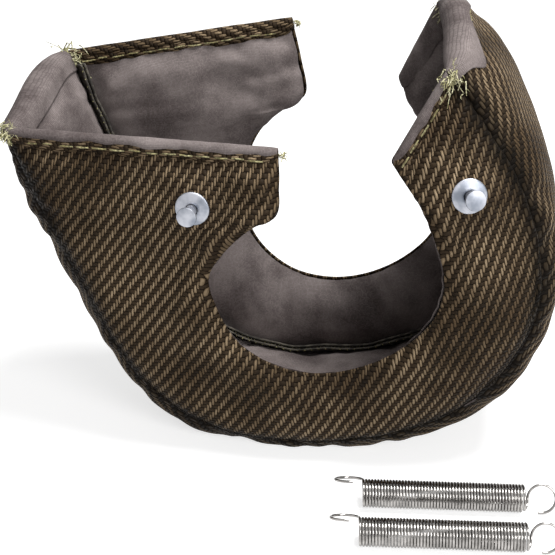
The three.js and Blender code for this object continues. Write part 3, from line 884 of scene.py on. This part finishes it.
# The washer's section is in shares of its radius and its height, the others in millimetres.
washer_radius = 6.6
washer_section = [(0.36, 0), (1, 0), (1, 0.26), (0.985, 0.4), (0.94, 0.5), (0.86, 0.58),
                  (0.7, 0.72), (0.55, 0.9), (0.47, 1.0), (0.38, 1.0), (0.36, 0.94), (0.36, 0)]
retainer_section = [(2.4, 0), (6, 0), (6, 0.6), (5.8, 0.8), (2.4, 0.8), (2.4, 0)]


def turn(name, section, axis, foot, material):
    """Spins a section of (radius, height) in millimetres round an axis."""
    bm = bmesh.new()
    chain = [bm.verts.new((radius / 1000, 0, height / 1000)) for radius, height in section]
    edges = [bm.edges.new(pair) for pair in zip(chain, chain[1:])]
    bmesh.ops.spin(bm, geom=chain + edges, cent=(0, 0, 0), axis=(0, 0, 1), dvec=(0, 0, 0),
                   angle=2 * math.pi, steps=56, use_merge=True)
    bmesh.ops.remove_doubles(bm, verts=bm.verts, dist=1e-6)
    bmesh.ops.recalc_face_normals(bm, faces=bm.faces)
    placed = Matrix.Translation(foot) @ axis.to_track_quat("Z", "Y").to_matrix().to_4x4()
    bmesh.ops.transform(bm, matrix=placed, verts=bm.verts)
    mesh = bpy.data.meshes.new(name)
    bm.to_mesh(mesh)
    bm.free()
    mesh.materials.append(material)
    for face in mesh.polygons:
        face.use_smooth = True
    mesh.set_sharp_from_angle(angle=math.radians(38))
    made = show(name, mesh)
    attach(made, "root")
    return made


def crown_centre(corners, axis):
    """The middle of a pin's flat top, from the ring of corners round it."""
    highest = max(corner.dot(axis) for corner in corners)
    tops = {tuple(round(c, 6) for c in corner) for corner in corners
            if corner.dot(axis) > highest - 1e-6}
    mean = Vector([sum(c) / len(tops) for c in zip(*tops)])
    ring = sorted(tops, key=lambda c: (Vector(c) - mean).length)[1:]
    return sum((Vector(c) for c in ring), Vector()) / len(ring)


axes = {mount["name"].replace("_anchor_head", ""): Vector(mount["axis"])
        for mount in frame["record"]["mounts"] if mount["name"].endswith("_anchor_head")}
for name, axis in axes.items():
    nodes = {part: frame["nodes"][f"{name}_anchor_{part}"] for part in ("pin", "washer", "retainer")}
    solids = {part: [vert.co.copy() for vert in node.data.vertices] for part, node in nodes.items()}
    heights = {part: [corner.dot(axis) for corner in corners] for part, corners in solids.items()}
    spans = {part: (min(high), max(high)) for part, high in heights.items()}
    top = crown_centre(solids["pin"], axis)
    foot = {part: top + axis * (span[0] - spans["pin"][1]) for part, span in spans.items()}
    long = (spans["pin"][1] - spans["pin"][0]) * 1000
    pin_section = [(0, 0), (3.2, 0), (3.4, 0.15), (3.4, 0.5), (2.1, 0.62), (2.1, long - 1.3),
                   (2.3, long - 1.02), (3.55, long - 1.0), (3.75, long - 0.85), (3.8, long - 0.6),
                   (3.8, long - 0.25), (3.72, long - 0.08), (3.5, long), (0, long)]
    washer_high = (spans["washer"][1] - spans["washer"][0]) * 1000
    sections = {"pin": pin_section, "retainer": retainer_section,
                "washer": [(r * washer_radius, h * washer_high) for r, h in washer_section]}
    for part in ("pin", "washer", "retainer"):
        section = sections[part]
        made = turn(f"{name}_anchor_{part}_turned", section, axis, foot[part], zinc)
        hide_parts(f"{name}_anchor_{part}")

# Tension springs
# Bright wire, close wound and not yet stretched: 52 turns with a side hook that leaves the top
# of the coil at the left, and at the right a hook that rises from the middle of the coil's end.
spring_steel, pin, shader = finish("spring_steel", {"Metallic": 1.0, "Roughness": 0.16})
spots = pin.place()
tone = spots.speckle(300.0, 3.0).between(0.3, 0.7)
feed(shader, "Base Color", tone.blend((0.24, 0.23, 0.22), (0.4, 0.385, 0.37)))
coil_diameter, wire_diameter, hook_diameter = 11.2, 1.1, 12
coil_pitch, coil_turns = 1.19, 52
coil_radius, hook_radius = (coil_diameter - wire_diameter) / 2, (hook_diameter - wire_diameter) / 2
half_length, hook_sweep = coil_pitch * coil_turns / 2, math.radians(285)
spring_turn = (Matrix.Rotation(math.radians(3.8), 3, "Z")
               @ Matrix.Rotation(math.radians(-27), 3, "X"))
spring_places = {"tension_spring_1": (73, -67.2), "tension_spring_2": (73.2, -91.4)}


def spring_wire():
    """The wire's middle line in millimetres, from one hook's tip to the other's."""
    line = []
    for k in range(36):
        angle = (1 - k / 36) * hook_sweep
        line.append((-half_length - hook_radius * (1 - math.cos(angle)),
                     hook_radius * math.sin(angle), coil_radius))
    steps = 28
    for k in range(int((coil_turns + 0.4) * steps) + 1):
        angle = 2 * math.pi * k / steps
        line.append((-half_length + k / steps * coil_pitch, -coil_radius * math.sin(angle),
                     coil_radius * math.cos(angle)))
    start = line[-1]
    hook = half_length + 1.8 * wire_diameter
    bend = (hook, start[1] * 0.2, start[2] * 0.8)
    for k in range(1, 8):
        t = k / 8
        line.append(tuple(a * (1 - t) ** 2 + 2 * b * t * (1 - t) + c * t * t
                          for a, b, c in zip(start, bend, (hook, 0, 0))))
    for k in range(41):
        angle = k / 40 * hook_sweep
        line.append((hook + hook_radius * (1 - math.cos(angle)), 0, hook_radius * math.sin(angle)))
    return line


for name, (x, y) in spring_places.items():
    stand = Vector((x, y, coil_diameter / 2))
    wire = [(Vector(to_frame(stand + spring_turn @ Vector(point))), wire_diameter / 2000)
            for point in spring_wire()]
    spring = strands(f"{name}_wire", [wire], 10, spring_steel)
    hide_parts(name)
